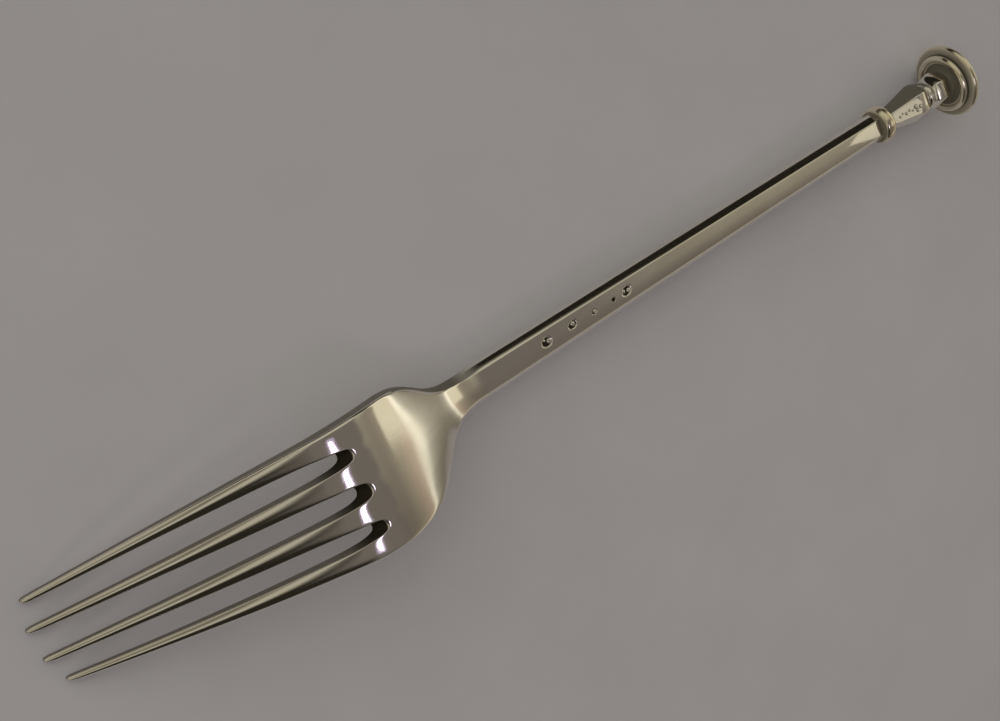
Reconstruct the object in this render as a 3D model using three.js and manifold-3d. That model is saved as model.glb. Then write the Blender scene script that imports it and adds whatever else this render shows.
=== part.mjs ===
import * as THREE from 'three';
import { mergeVertices } from 'three/addons/utils/BufferGeometryUtils.js';
import Module from 'manifold-3d';

const wasm = await Module();
wasm.setup();

// A seal-top fork lying on its face: back up, carried by the tine tips and the seal's rim.
// Millimetres. x runs from the tines to the seal and is zero at the slot roots, y is across, z is up.

// Tines
const tineLength = 43;
const innerTineExtra = 1.25;
const tineTipWidth = 0.85;
const tineRootWidth = 2.9;
const tineRootFlare = 0.4;
const tineFlareReach = 7;
const tineTipThickness = 1.1;
const tineTipRounding = 0.7;
const tineRootSlope = 0.36;
const tineCurveReach = 23;
const outerTipEdge = 6.6;
const outerTineBulge = 8.95;
const outerBulgePlace = 19;
const innerTipMiddle = 2.3;
const innerRootMiddle = 2.84;
const edgeBevel = 0.35;
const slotEndRoom = 1.5;
const slotEndLean = 1.6;
const slotLeanReach = 5;
const tipBevelShare = 0.25;
const slotStepShare = 0.3;

// Head
const headWidth = 19.24;
const headThickness = 2.5;
const headLength = 20.9;
const ridgeOffset = 1.1;
const ridgeHeight = 19.4;
const crestBend = 5.5;
const shoulderStart = 7.2;
const shoulderPlace = 13;
const shoulderHalfWidth = 6.65;
const shoulderSlope = 0.86;
const shoulderCurve = 2.8;
const neckCurve = 6.5;

// Stem, six-sided, with a tenon at its end
const stemLength = 87.3;
const stemNeckWidth = 5.6;
const stemEndWidth = 4.85;
const stemNeckThickness = 2.6;
const stemEndThickness = 3.3;
const stemNeckFlat = 4.05;
const stemEndFlat = 2.95;
const stemSideLand = 0.6;
const neckBend = 3.2;
const tenonRadius = 1.1;
const tenonLength = 7.4;

// Finial members, stacked along the stem's axis
const solderFilm = 0.2;
const jointClearance = 0.08;
const collarRadius = 3.2;
const collarLength = 2.2;
const collarLip = 2.6;
const balusterFootRadius = 1.9;
const balusterShoulderRadius = 3.25;
const balusterShoulderPlace = 6.8;
const balusterLength = 9.2;
const balusterTopRadius = 2.1;
const beadRadius = 2.35;
const beadLip = 1.7;
const beadLength = 1.2;
const spigotRadius = 0.9;
const knopRadius = 3.1;
const knopEndRadius = 1.7;
const knopLength = 3.6;
const sealBaseFoot = 2.2;
const sealBaseRadius = 5.1;
const sealBaseLength = 1.2;
const sealRadius = 6.3;
const sealThickness = 1.3;

// Heights and stations that follow from the sizes above
const axisHeight = sealRadius;
const stemTop = axisHeight + stemEndThickness / 2;
const stemEnd = headLength + stemLength;
const collarStart = stemEnd + solderFilm;
const balusterStart = collarStart + collarLength;
const beadStart = balusterStart + balusterLength;
const knopStart = beadStart + beadLength;
const sealBaseStart = knopStart + knopLength;
const sealFilmStart = sealBaseStart + sealBaseLength;
const sealStart = sealFilmStart + solderFilm;
const sealEnd = sealStart + sealThickness;
const outerTip = -tineLength;
const innerTip = -tineLength - innerTineExtra;

// Drawing fineness
const roundSides = 32;
const stemSides = 6;
const curveSteps = 24;
const arcSteps = 8;
const overcut = 0.5;
const weldReach = 0.00001;
const tipSteps = 4;
const tineSteps = 11;
const bendSteps = 10;
const headSteps = 14;

const mix = THREE.MathUtils.lerp;
const ease = THREE.MathUtils.smoothstep;

// Height or half-width at x on a curve drawn as points of rising x
function valueAt(points, x) {
  if (x <= points[0].x) {
    return points[0].y;
  }
  for (let i = 1; i < points.length; i++) {
    const a = points[i - 1];
    const b = points[i];
    if (x <= b.x) {
      return mix(a.y, b.y, (x - a.x) / (b.x - a.x));
    }
  }
  return points[points.length - 1].y;
}

// Side view of the back: curved tines, a bend at the slot roots, a straight head, a bend at the neck
const ridge = new THREE.Vector2(ridgeOffset, ridgeHeight);
const neck = new THREE.Vector2(headLength, stemTop);
const headSlope = (neck.y - ridge.y) / (neck.x - ridge.x);
const tineLine = (reach) => new THREE.Vector2(ridge.x - reach, ridge.y - reach * tineRootSlope);
const headLine = (x) => new THREE.Vector2(x, ridge.y + (x - ridge.x) * headSlope);
const backCurve = [
  new THREE.QuadraticBezierCurve(
    new THREE.Vector2(outerTip, tineTipThickness), tineLine(tineCurveReach), tineLine(crestBend)),
  new THREE.QuadraticBezierCurve(tineLine(crestBend), ridge, headLine(ridge.x + crestBend)),
  new THREE.QuadraticBezierCurve(
    headLine(neck.x - neckBend), neck, new THREE.Vector2(neck.x + neckBend, stemTop)),
].flatMap((curve) => curve.getPoints(curveSteps));

// Plan view: outer edge of an outer tine, then the rounded shoulder running into the stem
const halfHead = headWidth / 2;
const halfStem = stemNeckWidth / 2;
const tineEdge = new THREE.QuadraticBezierCurve(
  new THREE.Vector2(outerTip, outerTipEdge),
  new THREE.Vector2(-outerBulgePlace, outerTineBulge),
  new THREE.Vector2(0, halfHead)).getPoints(curveSteps);
const shoulder = new THREE.CubicBezierCurve(
  new THREE.Vector2(0, halfHead),
  new THREE.Vector2(shoulderStart, halfHead),
  new THREE.Vector2(shoulderPlace - shoulderCurve, shoulderHalfWidth + shoulderCurve * shoulderSlope),
  new THREE.Vector2(shoulderPlace, shoulderHalfWidth)).getPoints(curveSteps);
const neckStart = headLength + neckBend;
const neckEdge = new THREE.CubicBezierCurve(
  new THREE.Vector2(shoulderPlace, shoulderHalfWidth),
  new THREE.Vector2(shoulderPlace + shoulderCurve, shoulderHalfWidth - shoulderCurve * shoulderSlope),
  new THREE.Vector2(neckStart - neckCurve, halfStem),
  new THREE.Vector2(neckStart, halfStem)).getPoints(curveSteps);
const stemEdge = [new THREE.Vector2(stemEnd, stemEndWidth / 2)];
const planEdge = [tineEdge, shoulder, neckEdge, stemEdge].flat();

// Tine middles and widths; a tip closes as a half round, and past it the width is less than nothing
function tineWidth(x) {
  const flare = tineRootFlare * ease(x, -tineFlareReach, 0);
  return mix(tineRootWidth, tineTipWidth, Math.min(1, -x / tineLength)) + flare;
}
function roundedWidth(x, tip) {
  const inside = (x - tip) / tineTipRounding;
  if (inside < 0) {
    return -edgeBevel;
  }
  const left = Math.max(0, 1 - inside);
  return tineWidth(x) * Math.sqrt(1 - left * left);
}
const outerMiddle = (x) => valueAt(planEdge, x) - tineWidth(x) / 2;
const innerMiddle = (x) => mix(innerRootMiddle, innerTipMiddle, Math.min(1, -x / tineLength));

// Back heights: the longer inner tines are the same curve drawn out, so all four tips touch the table
const outerBack = (x) => valueAt(backCurve, x);
const innerBack = (x) => valueAt(backCurve, x < 0 ? x * tineLength / (tineLength + innerTineExtra) : x);
function thickness(x) {
  if (x < 0) {
    return mix(headThickness, tineTipThickness, Math.min(1, -x / tineLength));
  }
  if (x < neckStart) {
    return mix(headThickness, stemNeckThickness, ease(x, shoulderStart, neckStart));
  }
  return mix(stemNeckThickness, stemEndThickness, (x - neckStart) / (stemEnd - neckStart));
}

// Closed skin through a row of rings that have equal numbers of points
function loft(drawnRings) {
  const flat = (ring) => ring.map((p) => new THREE.Vector2(p.y, p.z));
  const turnsLeft = THREE.ShapeUtils.area(flat(drawnRings[0])) > 0;
  const rings = turnsLeft ? drawnRings : drawnRings.map((ring) => [...ring].reverse());
  const count = rings[0].length;
  const index = [];
  for (let i = 0; i + 1 < rings.length; i++) {
    for (let j = 0; j < count; j++) {
      const next = (j + 1) % count;
      const a = i * count + j;
      const b = i * count + next;
      index.push(a, b, a + count, b, b + count, a + count);
    }
  }
  const last = (rings.length - 1) * count;
  THREE.ShapeUtils.triangulateShape(flat(rings[0]), []).forEach(([a, b, c]) => index.push(a, c, b));
  THREE.ShapeUtils.triangulateShape(flat(rings[rings.length - 1]), [])
    .forEach(([a, b, c]) => index.push(last + a, last + b, last + c));
  const geometry = new THREE.BufferGeometry();
  geometry.setAttribute('position', new THREE.Float32BufferAttribute(
    rings.flat().flatMap((p) => [p.x, p.y, p.z]), 3));
  geometry.setIndex(index);
  return geometry;
}

function solid(geometry) {
  const bare = new THREE.BufferGeometry();
  bare.setAttribute('position', geometry.getAttribute('position'));
  bare.setIndex(geometry.getIndex());
  const merged = mergeVertices(bare, weldReach);
  const corners = merged.getAttribute('position').array;
  const all = merged.getIndex().array;
  const kept = [];
  let volume = 0;
  const at = (i) => new THREE.Vector3().fromArray(corners, 3 * i);
  for (let i = 0; i < all.length; i += 3) {
    const [a, b, c] = [all[i], all[i + 1], all[i + 2]];
    if (a !== b && b !== c && a !== c) {
      kept.push([a, b, c]);
      volume += at(a).dot(at(b).cross(at(c)));
    }
  }
  const facing = volume > 0 ? kept : kept.map(([a, b, c]) => [a, c, b]);
  return new wasm.Manifold(new wasm.Mesh({
    numProp: 3,
    vertProperties: Float32Array.from(corners),
    triVerts: Uint32Array.from(facing.flat()),
  }));
}

function skin(body) {
  const mesh = body.getMesh();
  const geometry = new THREE.BufferGeometry();
  geometry.setAttribute('position', new THREE.BufferAttribute(Float32Array.from(mesh.vertProperties), 3));
  geometry.setIndex(new THREE.BufferAttribute(Uint32Array.from(mesh.triVerts), 1));
  geometry.computeVertexNormals();
  return geometry;
}

// Forged plate for tines, head and stem in one, before the slots are cut.
// Inner and outer tines differ in height, and the plate steps between them inside the slots.
const rootSlotOuter = (outerMiddle(0) - tineWidth(0) / 2) / (halfHead - edgeBevel);
const rootSlotInner = (innerRootMiddle + tineWidth(0) / 2) / (halfHead - edgeBevel);
function plateRing(x) {
  const inTines = x < 0;
  const inStem = ease(x, shoulderStart, neckStart);
  const along = Math.max(0, (x - neckStart) / (stemEnd - neckStart));
  const middle = outerMiddle(x);
  const edge = inTines ? middle + roundedWidth(x, outerTip) / 2 : valueAt(planEdge, x);
  const stemBevel = mix(stemNeckWidth - stemNeckFlat, stemEndWidth - stemEndFlat, along) / 2;
  const bevelAcross = inTines ? Math.min(edgeBevel, tineWidth(x) * tipBevelShare) : mix(edgeBevel, stemBevel, inStem);
  const deep = thickness(x);
  const bevelDown = inTines ? edgeBevel : mix(edgeBevel, (deep - stemSideLand) / 2, inStem);
  const flat = edge - bevelAcross;
  const outerSide = inTines ? middle - tineWidth(x) / 2 : flat * rootSlotOuter;
  const innerSide = inTines ? innerMiddle(x) + tineWidth(x) / 2 : flat * rootSlotInner;
  const slotOuter = mix(outerSide, innerSide, slotStepShare);
  const slotInner = mix(innerSide, outerSide, slotStepShare);
  const outer = outerBack(x);
  const inner = innerBack(x);
  const right = [
    [slotInner, inner], [slotOuter, outer], [flat, outer], [edge, outer - bevelDown],
    [edge, outer - deep + bevelDown], [flat, outer - deep], [slotOuter, outer - deep],
    [slotInner, inner - deep],
  ];
  const left = right.map(([y, z]) => [-y, z]).reverse();
  return [...right, ...left].map(([y, z]) => new THREE.Vector3(x, y, z));
}

const span = (from, to, count) => Array.from({ length: count + 1 }, (_, i) => mix(from, to, i / count));
const plateStations = [
  innerTip - overcut,
  innerTip,
  outerTip - overcut,
  ...span(outerTip, outerTip + tineTipRounding, tipSteps),
  ...span(outerTip + tineTipRounding * 2, -crestBend, tineSteps),
  ...span(-crestBend, ridgeOffset + crestBend, bendSteps).slice(1),
  ...span(ridgeOffset + crestBend, neckStart, headSteps).slice(1),
  stemEnd,
];

// Cutter for one slot: both flanks flare out above and below to leave the bevels.
// The root end is round and leans, so that the slot starts sooner on the face than on the back.
function slotCutter(outerFlank, innerFlank, outerSideBack) {
  const rootOuter = outerFlank(-slotEndRoom);
  const rootInner = innerFlank(-slotEndRoom);
  const radius = (rootOuter - rootInner) / 2;
  const turnX = -radius - edgeBevel;
  const middle = (rootOuter + rootInner) / 2;
  const flare = edgeBevel + overcut;
  const straight = [
    innerTip - 2 * overcut,
    innerTip - overcut / 2,
    ...span(innerTip, innerTip + tineTipRounding, tipSteps),
    ...span(outerTip, outerTip + tineTipRounding, tipSteps),
    ...span(outerTip + tineTipRounding * 2, turnX, tineSteps),
  ].sort((a, b) => a - b);
  const ringOf = (outer, inner) => {
    const levels = [[flare, overcut, 0], [0, -edgeBevel, 0], [0, edgeBevel, 1], [flare, -overcut, 1]];
    const flank = (place, back) => levels.map(([aside, lift, under]) => {
      const [drawn, y] = place(aside);
      const x = drawn - under * slotEndLean * ease(drawn, -slotLeanReach, turnX);
      return new THREE.Vector3(x, y, back(x) - under * thickness(x) + lift);
    });
    return [...flank(outer, outerSideBack), ...flank(inner, innerBack).reverse()];
  };
  const rings = straight.map((x) => ringOf(
    (aside) => [x, outerFlank(x) + aside],
    (aside) => [x, innerFlank(x) - aside]));
  span(0, Math.PI / 2, arcSteps + 1).slice(1, -1).forEach((turn) => {
    const swing = (side) => (aside) => [
      turnX + (radius + aside) * Math.sin(turn),
      middle + side * (radius + aside) * Math.cos(turn),
    ];
    rings.push(ringOf(swing(1), swing(-1)));
  });
  return loft(rings);
}

const outerTineFlank = (x) => outerMiddle(x) - roundedWidth(x, outerTip) / 2;
const innerTineOut = (x) => innerMiddle(x) + roundedWidth(x, innerTip) / 2;
const innerTineIn = (x) => innerMiddle(x) - roundedWidth(x, innerTip) / 2;
const sideSlot = slotCutter(outerTineFlank, innerTineOut, outerBack);
const middleSlot = slotCutter(innerTineIn, (x) => -innerTineIn(x), innerBack);

// Bars and turned members along the stem's axis
function bar(radius, from, to) {
  return new THREE.CylinderGeometry(radius, radius, to - from, roundSides)
    .rotateZ(-Math.PI / 2)
    .translate((from + to) / 2, 0, axisHeight);
}
function turned(profile, from, sides, start) {
  return new THREE.LatheGeometry(profile.map(([r, x]) => new THREE.Vector2(r, x)), sides, start)
    .rotateZ(-Math.PI / 2)
    .translate(from, 0, axisHeight);
}
const sixSided = (profile, from) => turned(profile, from, stemSides, Math.PI / stemSides);
const round = (profile, from) => turned(profile, from, roundSides, 0);
function sweep(middleR, middleX, reachR, reachX, from, to, steps) {
  return span(from, to, steps).map((turn) => [
    middleR + reachR * Math.cos(turn), middleX + reachX * Math.sin(turn)]);
}

const forging = solid(loft(plateStations.map(plateRing)))
  .subtract(solid(sideSlot))
  .subtract(solid(sideSlot.clone().scale(1, -1, 1)))
  .subtract(solid(middleSlot))
  .add(solid(bar(tenonRadius, stemEnd - overcut, stemEnd + tenonLength)));

// Solder film between the stem's shoulder and the collar
const shoulderHole = tenonRadius + jointClearance;
const filmFlat = stemEndFlat / 2;
const filmSide = stemEndWidth / 2;
const filmShape = new THREE.Shape([
  [filmFlat, stemEndThickness / 2], [-filmFlat, stemEndThickness / 2], [-filmSide, stemSideLand / 2],
  [-filmSide, -stemSideLand / 2], [-filmFlat, -stemEndThickness / 2], [filmFlat, -stemEndThickness / 2],
  [filmSide, -stemSideLand / 2], [filmSide, stemSideLand / 2],
].map(([y, z]) => new THREE.Vector2(y, z)));
filmShape.holes.push(new THREE.Path().absarc(0, 0, shoulderHole, 0, Math.PI * 2, true));
const stemFilm = new THREE.ExtrudeGeometry(filmShape, {
  depth: solderFilm, bevelEnabled: false, curveSegments: roundSides / 2 })
  .rotateX(Math.PI / 2)
  .rotateZ(Math.PI / 2)
  .translate(stemEnd, 0, axisHeight);

// Collar ring: flat ends and a half-round rim
const collarRim = sweep(collarLip, collarLength / 2, collarRadius - collarLip, collarLength / 2,
  -Math.PI / 2, Math.PI / 2, arcSteps);
const collar = round([
  [shoulderHole, 0], ...collarRim, [shoulderHole, collarLength], [shoulderHole, 0]], collarStart);

// Baluster: six-sided vase with a round bead above it, a socket below and a spigot above
const topRound = balusterLength - balusterShoulderPlace;
const vase = sixSided([
  [0, 0], [balusterFootRadius, 0],
  [balusterShoulderRadius, balusterShoulderPlace],
  ...sweep(balusterTopRadius, balusterShoulderPlace, balusterShoulderRadius - balusterTopRadius, topRound,
    0, Math.PI / 2, arcSteps).slice(1),
  [0, balusterLength]], balusterStart);
const bead = round([
  [0, -solderFilm], [beadLip, -solderFilm],
  ...sweep(beadLip, beadLength / 2, beadRadius - beadLip, beadLength / 2, -Math.PI / 2, Math.PI / 2, arcSteps),
  [0, beadLength]], beadStart);
const socketEnd = stemEnd + tenonLength + solderFilm;
const baluster = solid(vase)
  .add(solid(bead))
  .add(solid(bar(spigotRadius, beadStart, sealFilmStart)))
  .subtract(solid(bar(shoulderHole, balusterStart - overcut, socketEnd)));

// Knop: six-sided barrel threaded over the spigot
const spigotHole = spigotRadius + jointClearance;
const knop = solid(sixSided([
  [0, 0], ...sweep(knopEndRadius, knopLength / 2, knopRadius - knopEndRadius, knopLength / 2,
    -Math.PI / 2, Math.PI / 2, arcSteps), [0, knopLength]], knopStart))
  .subtract(solid(bar(spigotHole, knopStart - overcut, sealBaseStart + overcut)));

// Seal base: hollow-curved foot opening to a bead, bored for the spigot
const baseStep = sealBaseLength / 3;
const baseLip = sealBaseLength - baseStep / 2;
const sealBase = round([
  [spigotHole, 0], [sealBaseFoot, 0],
  ...sweep(sealBaseFoot, baseStep * 2, sealBaseRadius - baseStep - sealBaseFoot, -baseStep,
    Math.PI / 2, 0, arcSteps).slice(1),
  ...sweep(sealBaseRadius - baseStep / 2, baseLip, baseStep / 2, baseStep / 2,
    -Math.PI / 2, Math.PI / 2, arcSteps),
  [spigotHole, sealBaseLength], [spigotHole, 0]], sealBaseStart);

// Solder film under the seal, then the seal plate with its rounded rim
const sealFilm = bar(sealBaseRadius - baseStep, sealFilmStart, sealStart);
const rim = sealThickness / 2;
const seal = round([
  [0, 0], [sealRadius - rim, 0],
  ...sweep(sealRadius - rim, rim, rim, rim, -Math.PI / 2, Math.PI / 2, arcSteps).slice(1),
  [0, sealThickness]], sealStart);

const silver = new THREE.MeshStandardMaterial({ color: 0xd9d4c8, roughness: 0.18, metalness: 1 });
const solderSilver = new THREE.MeshStandardMaterial({ color: 0xb9b2a2, roughness: 0.4, metalness: 1 });

const fork = new THREE.Group();
fork.name = 'fork';
function place(name, geometry, material) {
  const mesh = new THREE.Mesh(geometry, material);
  mesh.name = name;
  fork.add(mesh);
}
place('fork_forging', skin(forging), silver);
place('stem_solder', skin(solid(stemFilm)), solderSilver);
place('stem_collar', skin(solid(collar)), silver);
place('finial_baluster', skin(baluster), silver);
place('finial_knop', skin(knop), silver);
place('seal_base', skin(solid(sealBase)), silver);
place('seal_solder', skin(solid(sealFilm)), solderSilver);
place('seal_plate', skin(solid(seal)), silver);
fork.position.x = -(innerTip + sealEnd) / 2;

export default fork;
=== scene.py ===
import bpy
import math
from mathutils import Matrix, Vector


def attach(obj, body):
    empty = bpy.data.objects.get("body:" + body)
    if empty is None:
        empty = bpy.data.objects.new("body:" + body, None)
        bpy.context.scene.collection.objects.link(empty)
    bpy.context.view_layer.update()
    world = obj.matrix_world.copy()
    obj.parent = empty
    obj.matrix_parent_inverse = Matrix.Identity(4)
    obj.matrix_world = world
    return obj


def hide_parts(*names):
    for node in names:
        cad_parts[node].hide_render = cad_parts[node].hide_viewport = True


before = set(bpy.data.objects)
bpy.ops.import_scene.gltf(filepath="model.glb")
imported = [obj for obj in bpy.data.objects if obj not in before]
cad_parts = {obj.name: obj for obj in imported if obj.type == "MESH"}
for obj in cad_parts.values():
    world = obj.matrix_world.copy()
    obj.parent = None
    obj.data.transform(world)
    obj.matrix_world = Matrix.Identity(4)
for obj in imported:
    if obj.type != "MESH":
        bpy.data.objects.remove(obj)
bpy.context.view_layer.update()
mm = 0.001
slotRootX = -41.525  # the slot roots' place along the fork, in the CAD frame
axisZ = 6.3          # height of the stem's axis
print("frame loaded:", len(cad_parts), "nodes")


# Small helpers for working by hand in object and edit mode
def objectMode():
    if bpy.context.object and bpy.context.object.mode != "OBJECT":
        bpy.ops.object.mode_set(mode="OBJECT")


def clearSelection():
    objectMode()
    bpy.ops.object.select_all(action="DESELECT")


def selectOnly(piece):
    clearSelection()
    piece.select_set(True)
    bpy.context.view_layer.objects.active = piece


def unpick(piece):
    objectMode()
    for part in (piece.data.vertices, piece.data.edges, piece.data.polygons):
        part.foreach_set("select", [False] * len(part))


def pickFaces(piece, wanted):
    unpick(piece)
    for face in piece.data.polygons:
        face.select = wanted(face)
    bpy.ops.object.mode_set(mode="EDIT")
    bpy.ops.mesh.select_mode(type="FACE")


def pickEdges(piece, wanted):
    unpick(piece)
    corners = piece.data.vertices
    for edge in piece.data.edges:
        a, b = edge.vertices
        if wanted(corners[a].co, corners[b].co):
            edge.select = True
            corners[a].select = True
            corners[b].select = True
    bpy.ops.object.mode_set(mode="EDIT")
    bpy.ops.mesh.select_mode(type="EDGE")


def addAndApply(piece, kind, **settings):
    selectOnly(piece)
    modifier = piece.modifiers.new(kind.title(), kind)
    for name, value in settings.items():
        setattr(modifier, name, value)
    bpy.ops.object.modifier_apply(modifier=modifier.name)


def faceOutwards(piece):
    bpy.context.view_layer.objects.active = piece
    objectMode()
    bpy.ops.object.mode_set(mode="EDIT")
    bpy.ops.mesh.select_all(action="SELECT")
    bpy.ops.mesh.remove_doubles(threshold=0.000002)
    bpy.ops.mesh.normals_make_consistent(inside=False)
    objectMode()


def smoothUnder(piece, degrees):
    selectOnly(piece)
    bpy.ops.object.shade_smooth_by_angle(angle=math.radians(degrees))


# stores a per-point amount of darker colour, grime mixed with painted shade, for the silver material to
# read
def paintGrimeAndShade(piece, amountAt):
    layer = piece.data.attributes.new("grimeAndShade", "FLOAT", "POINT")
    normals = piece.data.vertex_normals
    values = [amountAt(v.co / mm, n.vector) for v, n in zip(piece.data.vertices, normals)]
    layer.data.foreach_set("value", values)


def join(*pieces):
    clearSelection()
    for piece in pieces:
        piece.select_set(True)
    bpy.context.view_layer.objects.active = pieces[0]
    bpy.ops.object.join()
    return pieces[0]


def settle(piece, name, material, slotName, *nodes):
    selectOnly(piece)
    bpy.ops.object.transform_apply(location=True, rotation=True, scale=True)
    piece.name = name
    piece.data.name = name
    piece.data.materials.clear()
    piece.data.materials.append(material)
    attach(piece, "root")
    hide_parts(*nodes)


# Materials
silverLook = {
    "colour": (0.90, 0.865, 0.795),
    "tarnish": (0.60, 0.52, 0.40),
    "tarnishAmount": 0.28, "tarnishScale": 90.0, "tarnishSpread": (0.42, 0.80),
    "roughness": (0.05, 0.13), "polishScale": 260.0, "polishSpread": (0.35, 0.75),
    # grime and pit colours: painted shade mixed with some grime, for sides, slot ends, punches and grooves
    "grimeAndShade": (0.085, 0.072, 0.046), "grimeAndShadeMetallic": 0.1, "grimeAndShadeRoughness": 0.4,
    "pitShade": (0.030, 0.025, 0.017), "pitFrom": 0.94, "sheen": 0.5,
    "scratchDepth": 0.05, "scratchRise": 0.00006, "scratchScale": (300.0, 4200.0, 4200.0),
    "hammerDepth": 0.012, "hammerRise": 0.0006, "hammerScale": 140.0,
}


def node(tree, kind, place, **inputs):
    made = tree.nodes.new(kind)
    made.location = place
    for name, value in inputs.items():
        made.inputs[name.replace("_", " ")].default_value = value
    return made


def noise(tree, place, **inputs):
    return node(tree, "ShaderNodeTexNoise", place, **inputs)


def colourMix(tree, place):
    made = node(tree, "ShaderNodeMix", place)
    made.data_type = "RGBA"
    return made


def ramp(tree, place, low, high, lowColour, highColour):
    made = tree.nodes.new("ShaderNodeValToRGB")
    made.location = place
    made.color_ramp.elements[0].position = low
    made.color_ramp.elements[1].position = high
    made.color_ramp.elements[0].color = (*lowColour, 1)
    made.color_ramp.elements[1].color = (*highColour, 1)
    return made


def makeSilver(name, look):
    material = bpy.data.materials.new(name)
    material.use_nodes = True
    tree = material.node_tree
    link = tree.links.new
    shader = tree.nodes["Principled BSDF"]
    place = node(tree, "ShaderNodeTexCoord", (-1400, 0))

    # cloudy tarnish
    cloud = noise(tree, (-1000, 300), Scale=look["tarnishScale"], Detail=6.0, Roughness=0.6)
    link(place.outputs["Object"], cloud.inputs["Vector"])
    amount = look["tarnishAmount"]
    stain = ramp(tree, (-800, 300), *look["tarnishSpread"], (0, 0, 0), (amount, amount, amount))
    link(cloud.outputs["Fac"], stain.inputs["Fac"])
    tint = colourMix(tree, (-450, 300))
    tint.inputs["A"].default_value = (*look["colour"], 1)
    tint.inputs["B"].default_value = (*look["tarnish"], 1)
    link(stain.outputs["Color"], tint.inputs["Factor"])

    # grime and painted shade: a darker colour on slot walls, edges and the grooves of the finial, where
    # the cloth doesn't reach and where shade falls
    reach = node(tree, "ShaderNodeAttribute", (-700, 600))
    reach.attribute_name = "grimeAndShade"
    dirtAndShade = colourMix(tree, (-220, 400))
    dirtAndShade.inputs["B"].default_value = (*look["grimeAndShade"], 1)
    link(reach.outputs["Fac"], dirtAndShade.inputs["Factor"])
    link(tint.outputs["Result"], dirtAndShade.inputs["A"])
    # full grime is darker still, near-black painted shade in the slot ends, the punches and the grooves
    deep = node(tree, "ShaderNodeMapRange", (-450, 600), From_Min=look["pitFrom"], From_Max=1.0)
    link(reach.outputs["Fac"], deep.inputs["Value"])
    pitShade = colourMix(tree, (-60, 500))
    pitShade.inputs["B"].default_value = (*look["pitShade"], 1)
    link(deep.outputs["Result"], pitShade.inputs["Factor"])
    link(dirtAndShade.outputs["Result"], pitShade.inputs["A"])
    link(pitShade.outputs["Result"], shader.inputs["Base Color"])
    sheen = node(tree, "ShaderNodeMapRange", (-60, 250), From_Min=look["pitFrom"], From_Max=1.0,
                 To_Min=look["sheen"], To_Max=0.0)
    link(reach.outputs["Fac"], sheen.inputs["Value"])
    link(sheen.outputs["Result"], shader.inputs["Specular IOR Level"])
    bare = node(tree, "ShaderNodeMapRange", (-220, 150), To_Min=1.0, To_Max=look["grimeAndShadeMetallic"])
    link(reach.outputs["Fac"], bare.inputs["Value"])
    link(bare.outputs["Result"], shader.inputs["Metallic"])

    # polish that varies from patch to patch
    patch = noise(tree, (-1000, 0), Scale=look["polishScale"], Detail=4.0, Roughness=0.55)
    link(place.outputs["Object"], patch.inputs["Vector"])
    smooth, dull = look["roughness"]
    gloss = ramp(tree, (-800, 0), *look["polishSpread"], (smooth, smooth, smooth), (dull, dull, dull))
    link(patch.outputs["Fac"], gloss.inputs["Fac"])
    matt = tree.nodes.new("ShaderNodeMath")
    matt.operation = "MULTIPLY_ADD"
    matt.location = (-220, -50)
    matt.inputs[1].default_value = look["grimeAndShadeRoughness"]
    link(reach.outputs["Fac"], matt.inputs[0])
    link(gloss.outputs["Color"], matt.inputs[2])
    link(matt.outputs["Value"], shader.inputs["Roughness"])

    # fine scratches along the fork, and a slow unevenness left by the hammer
    along = node(tree, "ShaderNodeMapping", (-1200, -300), Scale=look["scratchScale"])
    link(place.outputs["Object"], along.inputs["Vector"])
    scratch = noise(tree, (-1000, -300), Scale=1.0, Detail=5.0, Roughness=0.7)
    link(along.outputs["Vector"], scratch.inputs["Vector"])
    hammer = noise(tree, (-1000, -560), Scale=look["hammerScale"], Detail=2.0, Roughness=0.4)
    link(place.outputs["Object"], hammer.inputs["Vector"])
    wave = node(tree, "ShaderNodeBump", (-600, -560), Strength=look["hammerDepth"],
                Distance=look["hammerRise"])
    link(hammer.outputs["Fac"], wave.inputs["Height"])
    fine = node(tree, "ShaderNodeBump", (-400, -300), Strength=look["scratchDepth"],
                Distance=look["scratchRise"])
    link(scratch.outputs["Fac"], fine.inputs["Height"])
    link(wave.outputs["Normal"], fine.inputs["Normal"])
    link(fine.outputs["Normal"], shader.inputs["Normal"])
    return material


polishedSilver = makeSilver("polishedSilver", silverLook)
wornLook = {**silverLook, "colour": (0.90, 0.83, 0.65), "tarnishAmount": 0.45, "roughness": (0.12, 0.30)}
wornSilver = makeSilver("wornSilver", wornLook)
solderLook = {**silverLook, "colour": (0.62, 0.58, 0.50), "roughness": (0.3, 0.5)}
dullSolder = makeSilver("dullSolder", solderLook)
print("materials made")


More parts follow.
